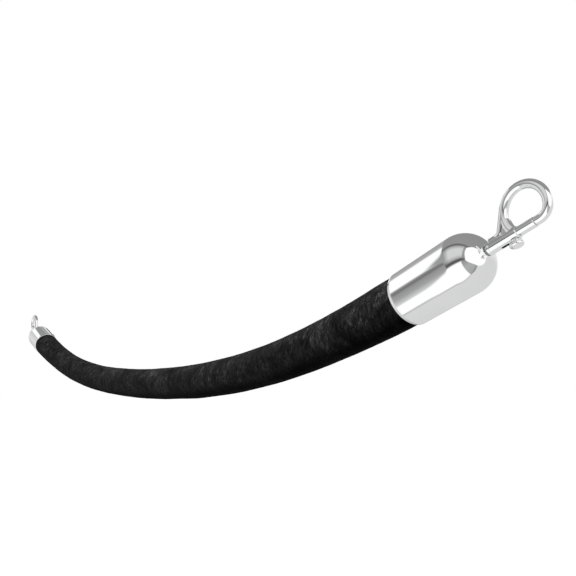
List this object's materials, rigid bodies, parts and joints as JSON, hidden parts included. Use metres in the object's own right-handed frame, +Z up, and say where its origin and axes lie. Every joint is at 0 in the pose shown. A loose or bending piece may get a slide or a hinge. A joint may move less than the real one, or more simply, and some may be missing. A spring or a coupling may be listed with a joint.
{
  "type": "velvet barrier rope",
  "caption": "Padded velvet barrier rope hanging in a shallow arc, with a polished bullet-shaped cap and a swivelling bolt-snap hook at each end.",
  "frame": {"origin": "centre of hook A's eye, where a post's ring holds the rope", "axes": "+Z up; +X from the rope out through hook A, level with hook B's eye; +Y across the rope"},
  "size_m": [1.2058, 0.042, 0.1505],
  "materials": {
    "velvet": "black velvet pile",
    "padding": "soft wadding",
    "core_cord": "twisted cord",
    "chrome": "mirror polished",
    "steel": "zinc plated",
    "spring_steel": "drawn wire",
    "plug_wood": "turned beech"
  },
  "bodies": {
    "rope": {"velvet_sleeve": "velvet", "padding_core": "padding", "load_cord": "core_cord", "end_cap_a": "chrome", "cap_screws_a": "steel", "end_plug_a": "plug_wood", "crimp_band_a": "steel", "cord_washer_a": "steel", "cord_ferrule_a": "steel", "swivel_bushing_a": "steel", "end_cap_b": "chrome", "cap_screws_b": "steel", "end_plug_b": "plug_wood", "crimp_band_b": "steel", "cord_washer_b": "steel", "cord_ferrule_b": "steel", "swivel_bushing_b": "steel"},
    "swivel_hook_a": {"hook_a": "chrome", "swivel_pin_a": "steel", "swivel_washer_a": "steel", "lock_nut_a": "steel", "bolt_spring_a": "spring_steel"},
    "bolt_a": {"sliding_bolt_a": "chrome", "thumb_knob_a": "chrome"},
    "swivel_hook_b": {"hook_b": "chrome", "swivel_pin_b": "steel", "swivel_washer_b": "steel", "lock_nut_b": "steel", "bolt_spring_b": "spring_steel"},
    "bolt_b": {"sliding_bolt_b": "chrome", "thumb_knob_b": "chrome"}
  },
  "joints": [
    {"name": "swivel_a", "type": "hinge", "parent": "rope", "child": "swivel_hook_a", "pos_m": [-0.02835, 0, -0.02118], "axis": [0.9455, 0, 0.3256], "continuous": true},
    {"name": "bolt_slide_a", "type": "slide", "parent": "swivel_hook_a", "child": "bolt_a", "axis": [-0.9455, 0, -0.3256], "range_m": [0, 0.009], "stiffness_N_per_m": 250, "springref_m": -0.004, "deforming": ["bolt_spring_a"]},
    {"name": "swivel_b", "type": "hinge", "parent": "rope", "child": "swivel_hook_b", "pos_m": [-1.14007, 0, -0.02118], "axis": [-0.9455, 0, 0.3256], "continuous": true},
    {"name": "bolt_slide_b", "type": "slide", "parent": "swivel_hook_b", "child": "bolt_b", "axis": [0.9455, 0, -0.3256], "range_m": [0, 0.009], "stiffness_N_per_m": 250, "springref_m": -0.004, "deforming": ["bolt_spring_b"]}
  ]
}
